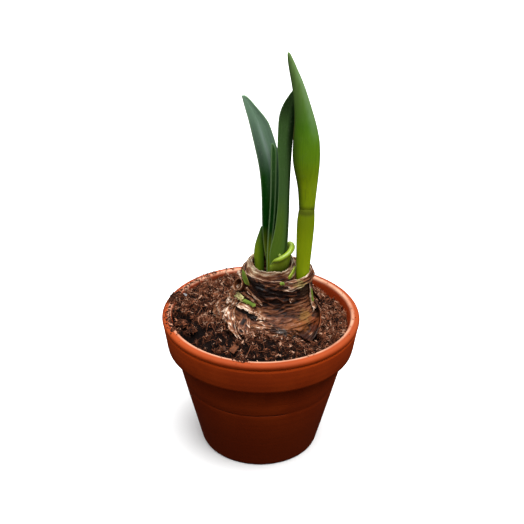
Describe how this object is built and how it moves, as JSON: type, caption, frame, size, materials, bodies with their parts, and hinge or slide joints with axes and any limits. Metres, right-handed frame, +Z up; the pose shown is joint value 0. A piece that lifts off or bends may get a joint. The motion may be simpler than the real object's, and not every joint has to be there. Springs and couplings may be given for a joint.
{
  "type": "potted amaryllis",
  "caption": "Amaryllis bulb in a terracotta pot of coir soil, with leaves, short sheaths and a closed bud on a thick stalk.",
  "frame": {"origin": "centre of the pot's base, on the surface that it stands on", "axes": "+Z up, the longest side; -Y is the front that the picture shows; +X to the right, where the flower stalk is"},
  "size_m": [0.15, 0.15, 0.3104],
  "materials": {
    "terracotta": "matte",
    "soil": "matte",
    "tunic": "satin",
    "papery_scale": "matte",
    "scale_green": "satin",
    "leaf_bluish": "satin",
    "leaf_dark": "satin",
    "leaf_young": "satin",
    "sheath": "satin",
    "stalk": "satin",
    "bud": "satin"
  },
  "bodies": {
    "root": {"pot": "terracotta", "soil": "soil", "bulb": "tunic", "neck_scale_inner": "papery_scale", "green_scale": "scale_green", "leaf_left": "leaf_bluish", "leaf_middle": "leaf_dark", "leaf_inner": "leaf_young", "leaf_sheath_left": "sheath", "leaf_sheath_right": "sheath", "flower_stalk": "stalk", "flower_bud": "bud"}
  },
  "joints": []
}
